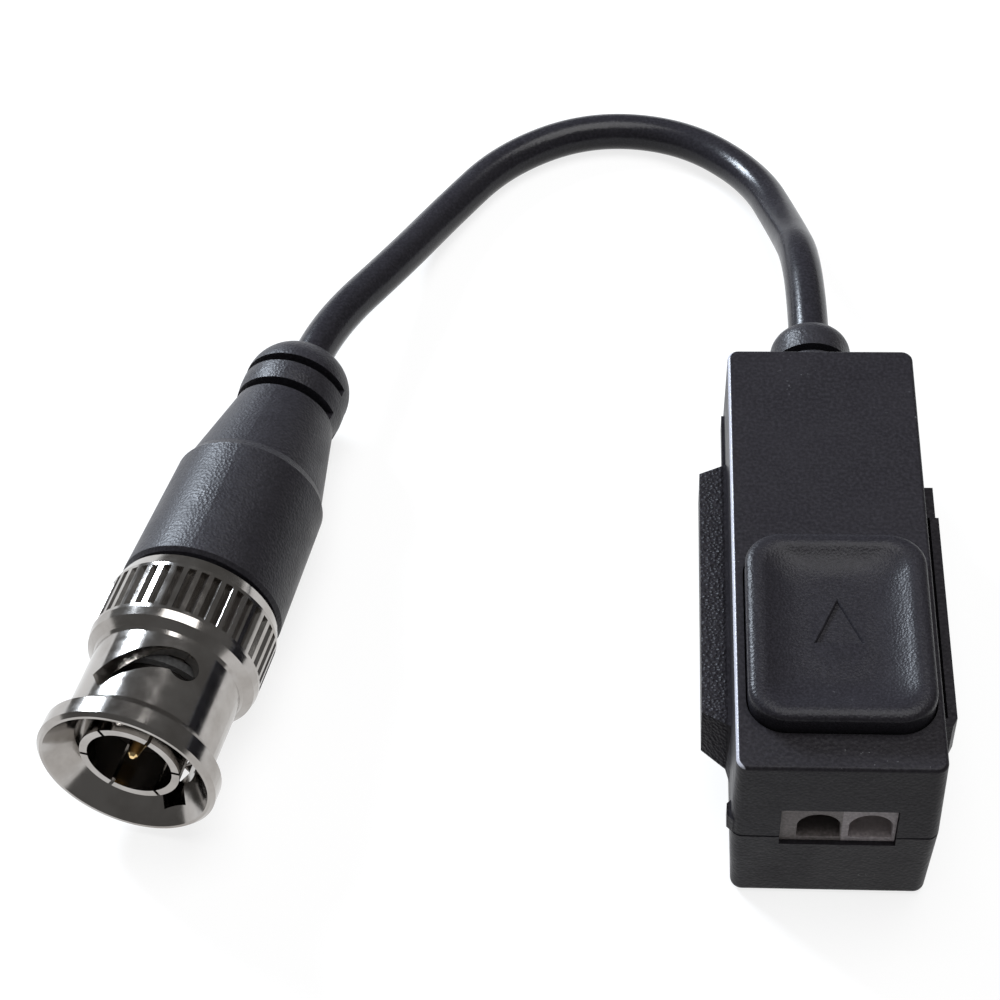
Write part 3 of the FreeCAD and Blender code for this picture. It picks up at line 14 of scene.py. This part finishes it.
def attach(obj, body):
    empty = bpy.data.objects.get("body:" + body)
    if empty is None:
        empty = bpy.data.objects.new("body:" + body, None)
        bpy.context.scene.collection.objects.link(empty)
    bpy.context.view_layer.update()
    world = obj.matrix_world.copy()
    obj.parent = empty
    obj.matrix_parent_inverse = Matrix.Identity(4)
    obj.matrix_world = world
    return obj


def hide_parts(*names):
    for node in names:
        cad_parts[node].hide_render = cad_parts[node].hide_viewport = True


MM = 0.001

# The camera stands over the terminal end and looks down on the loop of the cable. Its place is in
# metres, its angles are in degrees, and its lens and sensor are in millimetres.
CAMERA_PLACE = (-0.014135, -0.108775, 0.155125)
CAMERA_YAW = 5.71
CAMERA_DOWN = 50.5
CAMERA_ROLL = -3.9
CAMERA_LENS = 82.3
CAMERA_SENSOR = 36.0

# The cable's route in millimetres, as in the part's source.
CABLE_ROUTE = [
    (0.0, 29.2, 9.15),
    (0.0, 38.6, 9.15),
    (-1.27, 48.04, 4.8),
    (-3.84, 57.51, 2.4),
    (-10.77, 64.15, 1.75),
    (-20.06, 65.23, 1.75),
    (-28.33, 60.71, 1.75),
    (-33.62, 52.91, 1.8),
    (-37.48, 44.94, 3.3),
    (-43.23, 34.21, 5.4),
    (-44.213, 29.546, 5.652),
]
CABLE_DIAMETER = 3.5 * MM

# The push pad in millimetres: the middle and half the size of its plan, its lower edge, the
# ceiling inside it and its top, then its wall, and its corners seen from above: their radii
# outside and inside, and the steps in each.
PAD_MIDDLE = (0.18, -8.6)
PAD_HALF = (6.78, 8.5)
PAD_LOW = 15.2
PAD_CEILING = 17.05
PAD_TOP = 19.3
PAD_WALL = 1.2
PAD_CORNER = 2.8
PAD_INNER_CORNER = 1.6
CORNER_STEPS = 8

# Its rim: a plain band below the top, then a round this high and a lip this wide.
PAD_BAND = 1.6
PAD_ROUND = 0.5
PAD_LIP = 0.85
RIM_ANGLES = (15, 30, 45, 60, 75, 90)

# Its dish: the depth, how far the slope runs from the sides and from the ends, and the share of
# the slope that still steepens.
DISH_DEPTH = 0.9
DISH_SLOPE = (3.8, 3.2)
DISH_SHARPER = 0.1
DISH_START = 0.2
DISH_STEPS = 24

# The sunk arrow from the pad's middle, and how its outline shrinks as it goes down.
ARROW_TIP = 2.8
ARROW_FOOT = -1.3
ARROW_HALF = 1.87
ARROW_LEVELS = ((1.0, 0.0), (0.95, 0.05), (0.90, 0.22))

# The stop tabs at the pad's ends, the legs over the two wire entries and the two spring posts.
TAB_HALF = 4
TAB_REACH = 0.7
TAB_TOP = 16.25
LEG_PLACES = (-1.2, 2.6)
LEG_HALF = 0.9
LEG_ENDS = (-14.2, -12.2)
LEG_LOW = 13.275
POST_PLACES = (-3.98, 3.98)
POST_ALONG = -3.0
POST_MIDDLE = PAD_CEILING - 1.45
POST_RADIUS = 0.6
POST_HEIGHT = 3.1
POST_SIDES = 20

# The sharpest angles, in degrees, that are still shaded smooth.
NODE_ANGLE = 32.0
PAD_ANGLE = 40.0

# The mix node has one set of sockets for each kind of data. These are those for colours.
MIX_LOW = 6
MIX_HIGH = 7
MIX_RESULT = 2

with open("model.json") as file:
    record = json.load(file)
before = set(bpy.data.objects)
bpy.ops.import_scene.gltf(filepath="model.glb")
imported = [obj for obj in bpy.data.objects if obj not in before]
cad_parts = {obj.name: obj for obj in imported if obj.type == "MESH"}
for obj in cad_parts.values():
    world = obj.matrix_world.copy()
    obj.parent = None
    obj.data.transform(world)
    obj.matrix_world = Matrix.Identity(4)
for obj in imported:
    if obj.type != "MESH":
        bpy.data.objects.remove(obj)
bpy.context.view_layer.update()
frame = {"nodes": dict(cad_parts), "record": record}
nodes = frame["nodes"]


def material(name):
    """A new node material, with its tree and its shader."""
    made = bpy.data.materials.new(name)
    made.use_nodes = True
    return made, made.node_tree, made.node_tree.nodes["Principled BSDF"]


def joined(tree, source, target):
    """Link one socket to another."""
    tree.links.new(source, target)


def coordinates(tree, kind="Object"):
    """The piece's own coordinates in metres, or the way its surface faces with Normal."""
    return tree.nodes.new("ShaderNodeTexCoord").outputs[kind]


def noise(tree, scale, detail=4.0, roughness=0.6, stretch=None):
    """A noise texture; scale is per metre."""
    pattern = tree.nodes.new("ShaderNodeTexNoise")
    pattern.inputs["Scale"].default_value = scale
    pattern.inputs["Detail"].default_value = detail
    pattern.inputs["Roughness"].default_value = roughness
    place = coordinates(tree)
    if stretch:
        mapping = tree.nodes.new("ShaderNodeMapping")
        mapping.inputs["Scale"].default_value = stretch
        joined(tree, place, mapping.inputs["Vector"])
        place = mapping.outputs["Vector"]
    joined(tree, place, pattern.inputs["Vector"])
    return pattern.outputs["Fac"]


def pebbles(tree, scale):
    """Rounded grains, as a spark-worn mould leaves them; scale is per metre."""
    pattern = tree.nodes.new("ShaderNodeTexVoronoi")
    pattern.inputs["Scale"].default_value = scale
    joined(tree, coordinates(tree), pattern.inputs["Vector"])
    return pattern.outputs["Distance"]


def ramp(tree, value, low, high):
    """A grey ramp over value; low and high are each (value, grey)."""
    node = tree.nodes.new("ShaderNodeValToRGB")
    for element, (place, grey) in zip(node.color_ramp.elements, (low, high)):
        element.position = place
        element.color = (grey, grey, grey, 1)
    joined(tree, value, node.inputs["Fac"])
    return node.outputs["Color"]


def mixed(tree, share, low, high):
    """A mix of two colours, each a socket or three numbers."""
    node = tree.nodes.new("ShaderNodeMix")
    node.data_type = "RGBA"
    joined(tree, share, node.inputs["Factor"])
    for socket, colour in ((node.inputs[MIX_LOW], low), (node.inputs[MIX_HIGH], high)):
        if hasattr(colour, "is_linked"):
            joined(tree, colour, socket)
        else:
            socket.default_value = (*colour, 1)
    return node.outputs[MIX_RESULT]


def calculated(tree, operation, first, second):
    """One value from two sockets, by an operation such as MULTIPLY or MAXIMUM."""
    node = tree.nodes.new("ShaderNodeMath")
    node.operation = operation
    joined(tree, first, node.inputs[0])
    joined(tree, second, node.inputs[1])
    return node.outputs["Value"]


def bumped(tree, shader, height, strength, distance):
    """Raise the surface by a height pattern; bumps can be chained on one shader."""
    node = tree.nodes.new("ShaderNodeBump")
    node.inputs["Strength"].default_value = strength
    node.inputs["Distance"].default_value = distance
    joined(tree, height, node.inputs["Height"])
    earlier = shader.inputs["Normal"]
    if earlier.is_linked:
        joined(tree, earlier.links[0].from_socket, node.inputs["Normal"])
    joined(tree, node.outputs["Normal"], shader.inputs["Normal"])


def stepped(tree, vector, axis, start, end):
    """Zero where the vector's part along axis is at start, and one where it reaches end."""
    parts = tree.nodes.new("ShaderNodeSeparateXYZ")
    joined(tree, vector, parts.inputs["Vector"])
    node = tree.nodes.new("ShaderNodeMapRange")
    node.inputs["From Min"].default_value = start
    node.inputs["From Max"].default_value = end
    joined(tree, parts.outputs[axis], node.inputs["Value"])
    return node.outputs["Result"]


def painted_hole_shading(made, start, colour):
    """Another colour behind a plane across the part, painted inside a hole as its shading."""
    tree = made.node_tree
    base = tree.nodes["Principled BSDF"].inputs["Base Color"]
    face = base.links[0].from_socket
    deep = stepped(tree, coordinates(tree), "Y", start, start + 1.2 * MM)
    joined(tree, mixed(tree, deep, face, colour), base)


def coarser_beside(made, start, grain, grain_height):
    """Coarser grain on what stands out on the part's left."""
    tree = made.node_tree
    outside = stepped(tree, coordinates(tree), "X", start, start - 0.2 * MM)
    height = calculated(tree, "MULTIPLY", outside, pebbles(tree, grain))
    bumped(tree, tree.nodes["Principled BSDF"], height, 1.0, grain_height)


def left_top_edge(tree):
    """The mask of the painted highlight: one on the rounded edge along the left of the housing's
    top, zero elsewhere.
    """
    way = coordinates(tree, "Normal")
    leaning = calculated(tree, "MULTIPLY", stepped(tree, way, "X", -0.22, -0.36),
                         stepped(tree, way, "Z", 0.18, 0.32))
    high = stepped(tree, coordinates(tree), "Z", 16.9 * MM, 17.1 * MM)
    return calculated(tree, "MULTIPLY", leaning, high)


def moulded(name, colour, worn, roughness, grain, grain_height, gloss=0.25, dust=0.0,
            painted_edge_highlight=False):
    """Moulded plastic or rubber: fine grain, slight clouding, dust specks, and if asked a
    smoother left top edge with a painted highlight.

    colour and worn are the two colours of its clouds, roughness is (least, most), grain is per
    metre, gloss is the specular level and dust is how much of it shows.
    """
    made, tree, shader = material(name)
    clouds = ramp(tree, noise(tree, scale=160), (0.35, 0.0), (0.7, 1.0))
    base = mixed(tree, clouds, colour, worn)
    flecks = ramp(tree, noise(tree, scale=grain, detail=2, roughness=0.5),
                  (0.40, 0.0), (0.72, 1.0))
    base = mixed(tree, flecks, base, [1.5 * part for part in worn])
    if dust:
        patches = ramp(tree, noise(tree, scale=90, detail=2), (0.55, 0.0), (0.75, dust))
        specks = ramp(tree, noise(tree, scale=3400, detail=1, roughness=0.4),
                      (0.735, 0.0), (0.77, 1.0))
        dusty = calculated(tree, "MULTIPLY", patches, specks)
        base = mixed(tree, dusty, base, (0.22, 0.22, 0.23))
    least, most = roughness
    rough = ramp(tree, noise(tree, scale=420), (0.3, least), (0.75, most))
    if painted_edge_highlight:
        # Painted highlight along the left top edge: a light bluish colour there, with a smoother
        # finish.
        edge = left_top_edge(tree)
        rough = mixed(tree, edge, rough, (0.20, 0.20, 0.20))
        base = mixed(tree, edge, base, (0.42, 0.42, 0.47))
    joined(tree, base, shader.inputs["Base Color"])
    joined(tree, rough, shader.inputs["Roughness"])
    shader.inputs["Specular IOR Level"].default_value = gloss
    bumped(tree, shader, pebbles(tree, grain), strength=0.8, distance=grain_height)
    bumped(tree, shader, noise(tree, scale=60, detail=3), strength=0.25, distance=0.02 * MM)
    return made


def plated(name, colour, tarnish, roughness, brushed=False):
    """Bright plated metal with faint handling marks and a little tarnish."""
    made, tree, shader = material(name)
    shader.inputs["Metallic"].default_value = 1.0
    film = ramp(tree, noise(tree, scale=260, detail=5), (0.42, 0.0), (0.75, 1.0))
    joined(tree, mixed(tree, film, colour, tarnish), shader.inputs["Base Color"])
    least, most = roughness
    rough = ramp(tree, noise(tree, scale=900), (0.3, least), (0.8, most))
    joined(tree, rough, shader.inputs["Roughness"])
    lines = noise(tree, scale=1800, detail=3, stretch=(1, 1, 14) if brushed else None)
    bumped(tree, shader, lines, strength=0.15, distance=0.004 * MM)
    return made


# The housing gets the painted highlight along its left top edge.
housing_plastic = moulded(
    "housing_plastic", colour=(0.0135, 0.0123, 0.0148), worn=(0.0170, 0.0156, 0.0185),
    roughness=(0.34, 0.48), grain=3600, grain_height=0.026 * MM, gloss=0.09, dust=0.5,
    painted_edge_highlight=True)
coarser_beside(housing_plastic, start=-7.8 * MM, grain=3800, grain_height=0.11 * MM)
pad_plastic = moulded(
    "pad_plastic", colour=(0.0140, 0.0130, 0.0160), worn=(0.0172, 0.0161, 0.0194),
    roughness=(0.30, 0.40), grain=5200, grain_height=0.022 * MM, gloss=0.14, dust=0.4)
rubber = moulded(
    "boot_rubber", colour=(0.0140, 0.0130, 0.0160), worn=(0.0185, 0.0173, 0.0212),
    roughness=(0.36, 0.50), grain=4200, grain_height=0.036 * MM, gloss=0.24)
jacket = moulded(
    "cable_jacket", colour=(0.0120, 0.0112, 0.0140), worn=(0.0165, 0.0155, 0.0190),
    roughness=(0.20, 0.30), grain=4200, grain_height=0.010 * MM, gloss=0.22)
dark_terminal = moulded(
    "terminal_dark", colour=(0.130, 0.112, 0.106), worn=(0.160, 0.141, 0.137),
    roughness=(0.45, 0.6), grain=3800, grain_height=0.02 * MM, gloss=0.3)
light_terminal = moulded(
    "terminal_light", colour=(0.270, 0.240, 0.243), worn=(0.310, 0.276, 0.279),
    roughness=(0.45, 0.6), grain=3800, grain_height=0.02 * MM, gloss=0.3)
insulator = moulded(
    "insulator_plastic", colour=(0.020, 0.017, 0.016), worn=(0.035, 0.030, 0.027),
    roughness=(0.45, 0.6), grain=3800, grain_height=0.01 * MM)
gasket = moulded(
    "gasket_rubber", colour=(0.03, 0.03, 0.03), worn=(0.045, 0.045, 0.045),
    roughness=(0.5, 0.65), grain=3200, grain_height=0.01 * MM)
board = moulded(
    "board_mask", colour=(0.015, 0.09, 0.035), worn=(0.02, 0.12, 0.05),
    roughness=(0.3, 0.4), grain=2500, grain_height=0.01 * MM, gloss=0.5)
black_part = moulded(
    "component_plastic", colour=(0.02, 0.02, 0.02), worn=(0.035, 0.035, 0.035),
    roughness=(0.5, 0.6), grain=3000, grain_height=0.01 * MM)
ceramic = moulded(
    "ceramic", colour=(0.42, 0.30, 0.17), worn=(0.5, 0.37, 0.22),
    roughness=(0.4, 0.5), grain=3000, grain_height=0.01 * MM)
core_white = moulded(
    "cable_core", colour=(0.75, 0.75, 0.72), worn=(0.82, 0.82, 0.8),
    roughness=(0.25, 0.35), grain=2500, grain_height=0.005 * MM, gloss=0.5)
nickel = plated(
    "nickel", colour=(0.40, 0.38, 0.36), tarnish=(0.28, 0.26, 0.24), roughness=(0.10, 0.22))
gold = plated(
    "gold", colour=(0.85, 0.62, 0.30), tarnish=(0.60, 0.40, 0.18), roughness=(0.15, 0.28))
spring_steel = plated(
    "spring_steel", colour=(0.55, 0.54, 0.52), tarnish=(0.42, 0.40, 0.38),
    roughness=(0.2, 0.35), brushed=True)
tinned = plated(
    "tinned_metal", colour=(0.62, 0.61, 0.58), tarnish=(0.45, 0.44, 0.42),
    roughness=(0.3, 0.45))
copper = plated(
    "copper_wire", colour=(0.55, 0.20, 0.07), tarnish=(0.40, 0.13, 0.05),
    roughness=(0.25, 0.35))

# The finish of each material slot in the record.
FINISHES = {
    "housing_plastic": housing_plastic,
    "pad_plastic": pad_plastic,
    "terminal_dark": dark_terminal,
    "terminal_light": light_terminal,
    "tinned_metal": tinned,
    "spring_steel": spring_steel,
    "board": board,
    "ferrite": black_part,
    "bobbin_plastic": black_part,
    "copper_wire": copper,
    "component_plastic": black_part,
    "ceramic": ceramic,
    "cable_jacket": jacket,
    "cable_core": core_white,
    "boot_rubber": rubber,
    "nickel": nickel,
    "insulator_plastic": insulator,
    "gold": gold,
    "gasket_rubber": gasket,
}


def shown(name, data):
    """A new object in the scene."""
    item = bpy.data.objects.new(name, data)
    bpy.context.scene.collection.objects.link(item)
    return item


def smooth(item, angle):
    """Smooth shading that stays sharp at edges steeper than an angle in degrees."""
    mesh = item.data
    mesh.polygons.foreach_set("use_smooth", [True] * len(mesh.polygons))
    mesh.set_sharp_from_angle(angle=math.radians(angle))


def dress_nodes():
    """Give every carried-over node the finish of its material slot."""
    face = min(corner.co.y for corner in nodes["terminal_block_left"].data.vertices)
    # Painted shade inside the dark block's wire holes, painted light inside the light block's
    # holes.
    painted_hole_shading(dark_terminal, face + 0.2 * MM, (0.115, 0.100, 0.097))
    painted_hole_shading(light_terminal, face + 0.2 * MM, (0.480, 0.436, 0.436))
    slots = {row["node"]: row["material_slot"] for row in frame["record"]["subparts"]}
    for name, item in nodes.items():
        item.data.materials.clear()
        item.data.materials.append(FINISHES[slots[name]])
        smooth(item, NODE_ANGLE)


def ring_of(beside, at_ends, radius, height):
    """Corners of a rounded rectangle, inset from the pad's plan beside and at the ends."""
    half_x = PAD_HALF[0] - beside
    half_y = PAD_HALF[1] - at_ends
    points = []
    for quarter, (side, end) in enumerate(((1, 1), (-1, 1), (-1, -1), (1, -1))):
        for step in range(CORNER_STEPS + 1):
            angle = math.radians(90 * (quarter + step / CORNER_STEPS))
            points.append(Vector((
                PAD_MIDDLE[0] + side * (half_x - radius) + radius * math.cos(angle),
                PAD_MIDDLE[1] + end * (half_y - radius) + radius * math.sin(angle),
                height)) * MM)
    return points


def dish_fall(share):
    """The share of the dish's depth that is reached at a share of its slope."""
    if share < DISH_START:
        return share ** 2 / DISH_START
    return 1 - (1 - share) ** 2 / (1 - DISH_START)


def pad_rows():
    """The pad's skin from its ceiling inside, round the rim and down into the dish."""
    rows = [
        ring_of(PAD_WALL, PAD_WALL, PAD_INNER_CORNER, PAD_CEILING),
        ring_of(PAD_WALL, PAD_WALL, PAD_INNER_CORNER, PAD_LOW),
        ring_of(0, 0, PAD_CORNER, PAD_LOW),
        ring_of(0, 0, PAD_CORNER, PAD_TOP - PAD_BAND),
        ring_of(0, 0, PAD_CORNER, PAD_TOP - PAD_ROUND),
    ]
    for angle in RIM_ANGLES:
        back = PAD_LIP * (1 - math.cos(math.radians(angle)))
        drop = PAD_ROUND * (1 - math.sin(math.radians(angle)))
        rows.append(ring_of(back, back, PAD_CORNER - back, PAD_TOP - drop))
    for step in range(1, DISH_STEPS + 1):
        share = step / DISH_STEPS
        rows.append(ring_of(PAD_LIP + DISH_SLOPE[0] * share, PAD_LIP + DISH_SLOPE[1] * share,
                            PAD_CORNER - PAD_LIP - DISH_SHARPER * share,
                            PAD_TOP - DISH_DEPTH * dish_fall(share)))
    return rows


def add_loop(shape, points):
    """A closed loop of new vertices and edges."""
    corners = [shape.verts.new(point) for point in points]
    edges = [shape.edges.new((corner, after))
             for corner, after in zip(corners, corners[1:] + corners[:1])]
    return corners, edges


def bridge(shape, first, second):
    """Quads between two loops of as many vertices."""
    for index, corner in enumerate(first):
        after = (index + 1) % len(first)
        shape.faces.new((corner, first[after], second[after], second[index]))


def arrow_loops(floor):
    """The sunk arrow: its mouth, a small bevel, and its bottom."""
    x, y = PAD_MIDDLE
    corners = ((x - ARROW_HALF, y + ARROW_FOOT), (x + ARROW_HALF, y + ARROW_FOOT),
               (x, y + ARROW_TIP))
    centre = Vector([sum(places) / 3 for places in zip(*corners)])
    loops = []
    for shrink, drop in ARROW_LEVELS:
        points = [centre + (Vector(corner) - centre) * shrink for corner in corners]
        loops.append([Vector((point.x, point.y, floor - drop)) * MM for point in points])
    return loops


def add_block(shape, low, high):
    """A plain box between two corners in millimetres."""
    low, high = Vector(low) * MM, Vector(high) * MM
    place = Matrix.Translation((low + high) / 2) @ Matrix.Diagonal((*(high - low), 1))
    bmesh.ops.create_cube(shape, size=1.0, matrix=place)


def add_pad_fittings(shape):
    """Under the pad: its stop tabs, the legs over the wire entries and the spring posts."""
    left, right = PAD_MIDDLE[0] - TAB_HALF, PAD_MIDDLE[0] + TAB_HALF
    front, rear = PAD_MIDDLE[1] - PAD_HALF[1], PAD_MIDDLE[1] + PAD_HALF[1]
    add_block(shape, (left, front - TAB_REACH, PAD_LOW), (right, front + PAD_WALL, TAB_TOP))
    add_block(shape, (left, rear - PAD_WALL, PAD_LOW), (right, rear + TAB_REACH, TAB_TOP))
    for entry in LEG_PLACES:
        add_block(shape, (entry - LEG_HALF, LEG_ENDS[0], LEG_LOW),
                  (entry + LEG_HALF, LEG_ENDS[1], PAD_CEILING + 0.1))
    for side in POST_PLACES:
        place = Matrix.Translation(Vector((PAD_MIDDLE[0] + side, POST_ALONG, POST_MIDDLE)) * MM)
        bmesh.ops.create_cone(shape, cap_ends=True, segments=POST_SIDES,
                              radius1=POST_RADIUS * MM, radius2=POST_RADIUS * MM,
                              depth=POST_HEIGHT * MM, matrix=place)


def add_pad():
    """The push pad: a smooth dish with a sunk arrow, and its tabs, legs and spring posts."""
    shape = bmesh.new()
    loops = [add_loop(shape, row) for row in pad_rows()]
    for (first, _), (second, _) in zip(loops, loops[1:]):
        bridge(shape, first, second)
    shape.faces.new(loops[0][0])
    mouth, bevel, bottom = [add_loop(shape, points)
                            for points in arrow_loops(PAD_TOP - DISH_DEPTH)]
    bmesh.ops.triangle_fill(shape, use_beauty=True, edges=loops[-1][1] + mouth[1])
    bridge(shape, mouth[0], bevel[0])
    bridge(shape, bevel[0], bottom[0])
    shape.faces.new(bottom[0])
    add_pad_fittings(shape)
    bmesh.ops.recalc_face_normals(shape, faces=shape.faces)
    mesh = bpy.data.meshes.new("pad_skin")
    shape.to_mesh(mesh)
    shape.free()
    pad = shown("pad_skin", mesh)
    mesh.materials.append(pad_plastic)
    smooth(pad, PAD_ANGLE)
    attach(pad, "pad")
    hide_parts("push_pad")


def add_camera():
    """The camera of the photograph."""
    data = bpy.data.cameras.new("camera")
    data.lens = CAMERA_LENS
    data.sensor_width = CAMERA_SENSOR
    data.clip_start = 0.005
    data.clip_end = 20.0
    camera = shown("camera", data)
    turned = (Matrix.Rotation(math.radians(CAMERA_YAW), 4, "Z")
              @ Matrix.Rotation(math.radians(90 - CAMERA_DOWN), 4, "X")
              @ Matrix.Rotation(math.radians(CAMERA_ROLL), 4, "Z"))
    camera.matrix_world = Matrix.Translation(CAMERA_PLACE) @ turned
    bpy.context.scene.camera = camera


def add_cable():
    """The free cable: one smooth NURBS line along the route."""
    curve = bpy.data.curves.new("cable_line", "CURVE")
    curve.dimensions = "3D"
    curve.resolution_u = 24
    curve.bevel_depth = CABLE_DIAMETER / 2
    curve.bevel_resolution = 8
    curve.use_fill_caps = True
    spline = curve.splines.new("NURBS")
    spline.points.add(len(CABLE_ROUTE) - 1)
    for point, place in zip(spline.points, CABLE_ROUTE):
        point.co = (*(Vector(place) * MM), 1)
    spline.order_u = 3
    spline.use_endpoint_u = True
    cable = shown("cable", curve)
    curve.materials.append(jacket)
    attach(cable, "housing")
    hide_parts("pigtail_cable")


def add_light(name, place, target, size, power, colour=(1, 1, 1)):
    """A rectangular lamp that faces a target; power is in watts."""
    data = bpy.data.lights.new(name, "AREA")
    data.shape = "RECTANGLE"
    data.size, data.size_y = size
    data.energy = power
    data.color = colour
    light = shown(name, data)
    light.location = place
    way = Vector(target) - Vector(place)
    light.rotation_mode = "QUATERNION"
    light.rotation_quaternion = way.to_track_quat("-Z", "Y")


def background_rays(tree):
    """One for the rays that see the background: from the camera, in metal and through glass."""
    paths = tree.nodes.new("ShaderNodeLightPath")
    seen = paths.outputs["Is Camera Ray"]
    for name in ("Is Glossy Ray", "Is Transmission Ray"):
        seen = calculated(tree, "MAXIMUM", seen, paths.outputs[name])
    return seen


def floor_white():
    """The floor's finish: near white where it is seen, and a mid grey that lights the part."""
    made, tree, shader = material("floor_white")
    shader.inputs["Base Color"].default_value = (0.35, 0.35, 0.35, 1)
    shader.inputs["Roughness"].default_value = 0.9
    glow = tree.nodes.new("ShaderNodeEmission")
    glow.inputs["Color"].default_value = (1, 1, 1, 1)
    glow.inputs["Strength"].default_value = 0.80
    dim = tree.nodes.new("ShaderNodeBsdfDiffuse")
    dim.inputs["Color"].default_value = (0.24, 0.24, 0.24, 1)
    seen = tree.nodes.new("ShaderNodeAddShader")
    joined(tree, glow.outputs["Emission"], seen.inputs[0])
    joined(tree, dim.outputs["BSDF"], seen.inputs[1])
    either = tree.nodes.new("ShaderNodeMixShader")
    joined(tree, background_rays(tree), either.inputs["Fac"])
    joined(tree, shader.outputs["BSDF"], either.inputs[1])
    joined(tree, seen.outputs["Shader"], either.inputs[2])
    output = tree.nodes["Material Output"]
    joined(tree, either.outputs["Shader"], output.inputs["Surface"])
    return made


def add_stage():
    """A plain white floor that keeps the soft shadow, a dim white world and two soft lamps."""
    mesh = bpy.data.meshes.new("floor")
    shape = bmesh.new()
    bmesh.ops.create_grid(shape, x_segments=1, y_segments=1, size=3.0)
    shape.to_mesh(mesh)
    shape.free()
    floor = shown("floor", mesh)
    floor.location = (0, 0, -0.02 * MM)
    mesh.materials.append(floor_white())

    world = bpy.data.worlds.new("studio")
    bpy.context.scene.world = world
    world.use_nodes = True
    sky = world.node_tree.nodes["Background"]
    sky.inputs["Color"].default_value = (1, 1, 1, 1)
    sky.inputs["Strength"].default_value = 0.15
    add_light("window", place=(-0.42, 0.42, 0.33), target=(-0.02, 0.02, 0.0),
              size=(0.20, 0.16), power=7.0, colour=(0.80, 0.89, 1.0))
    add_light("overhead", place=(0.08, 0.05, 0.70), target=(-0.01, 0.02, 0.0),
              size=(0.50, 0.50), power=3.9)


add_camera()
add_cable()
dress_nodes()
add_pad()
add_stage()
bpy.context.scene.view_settings.view_transform = "Standard"
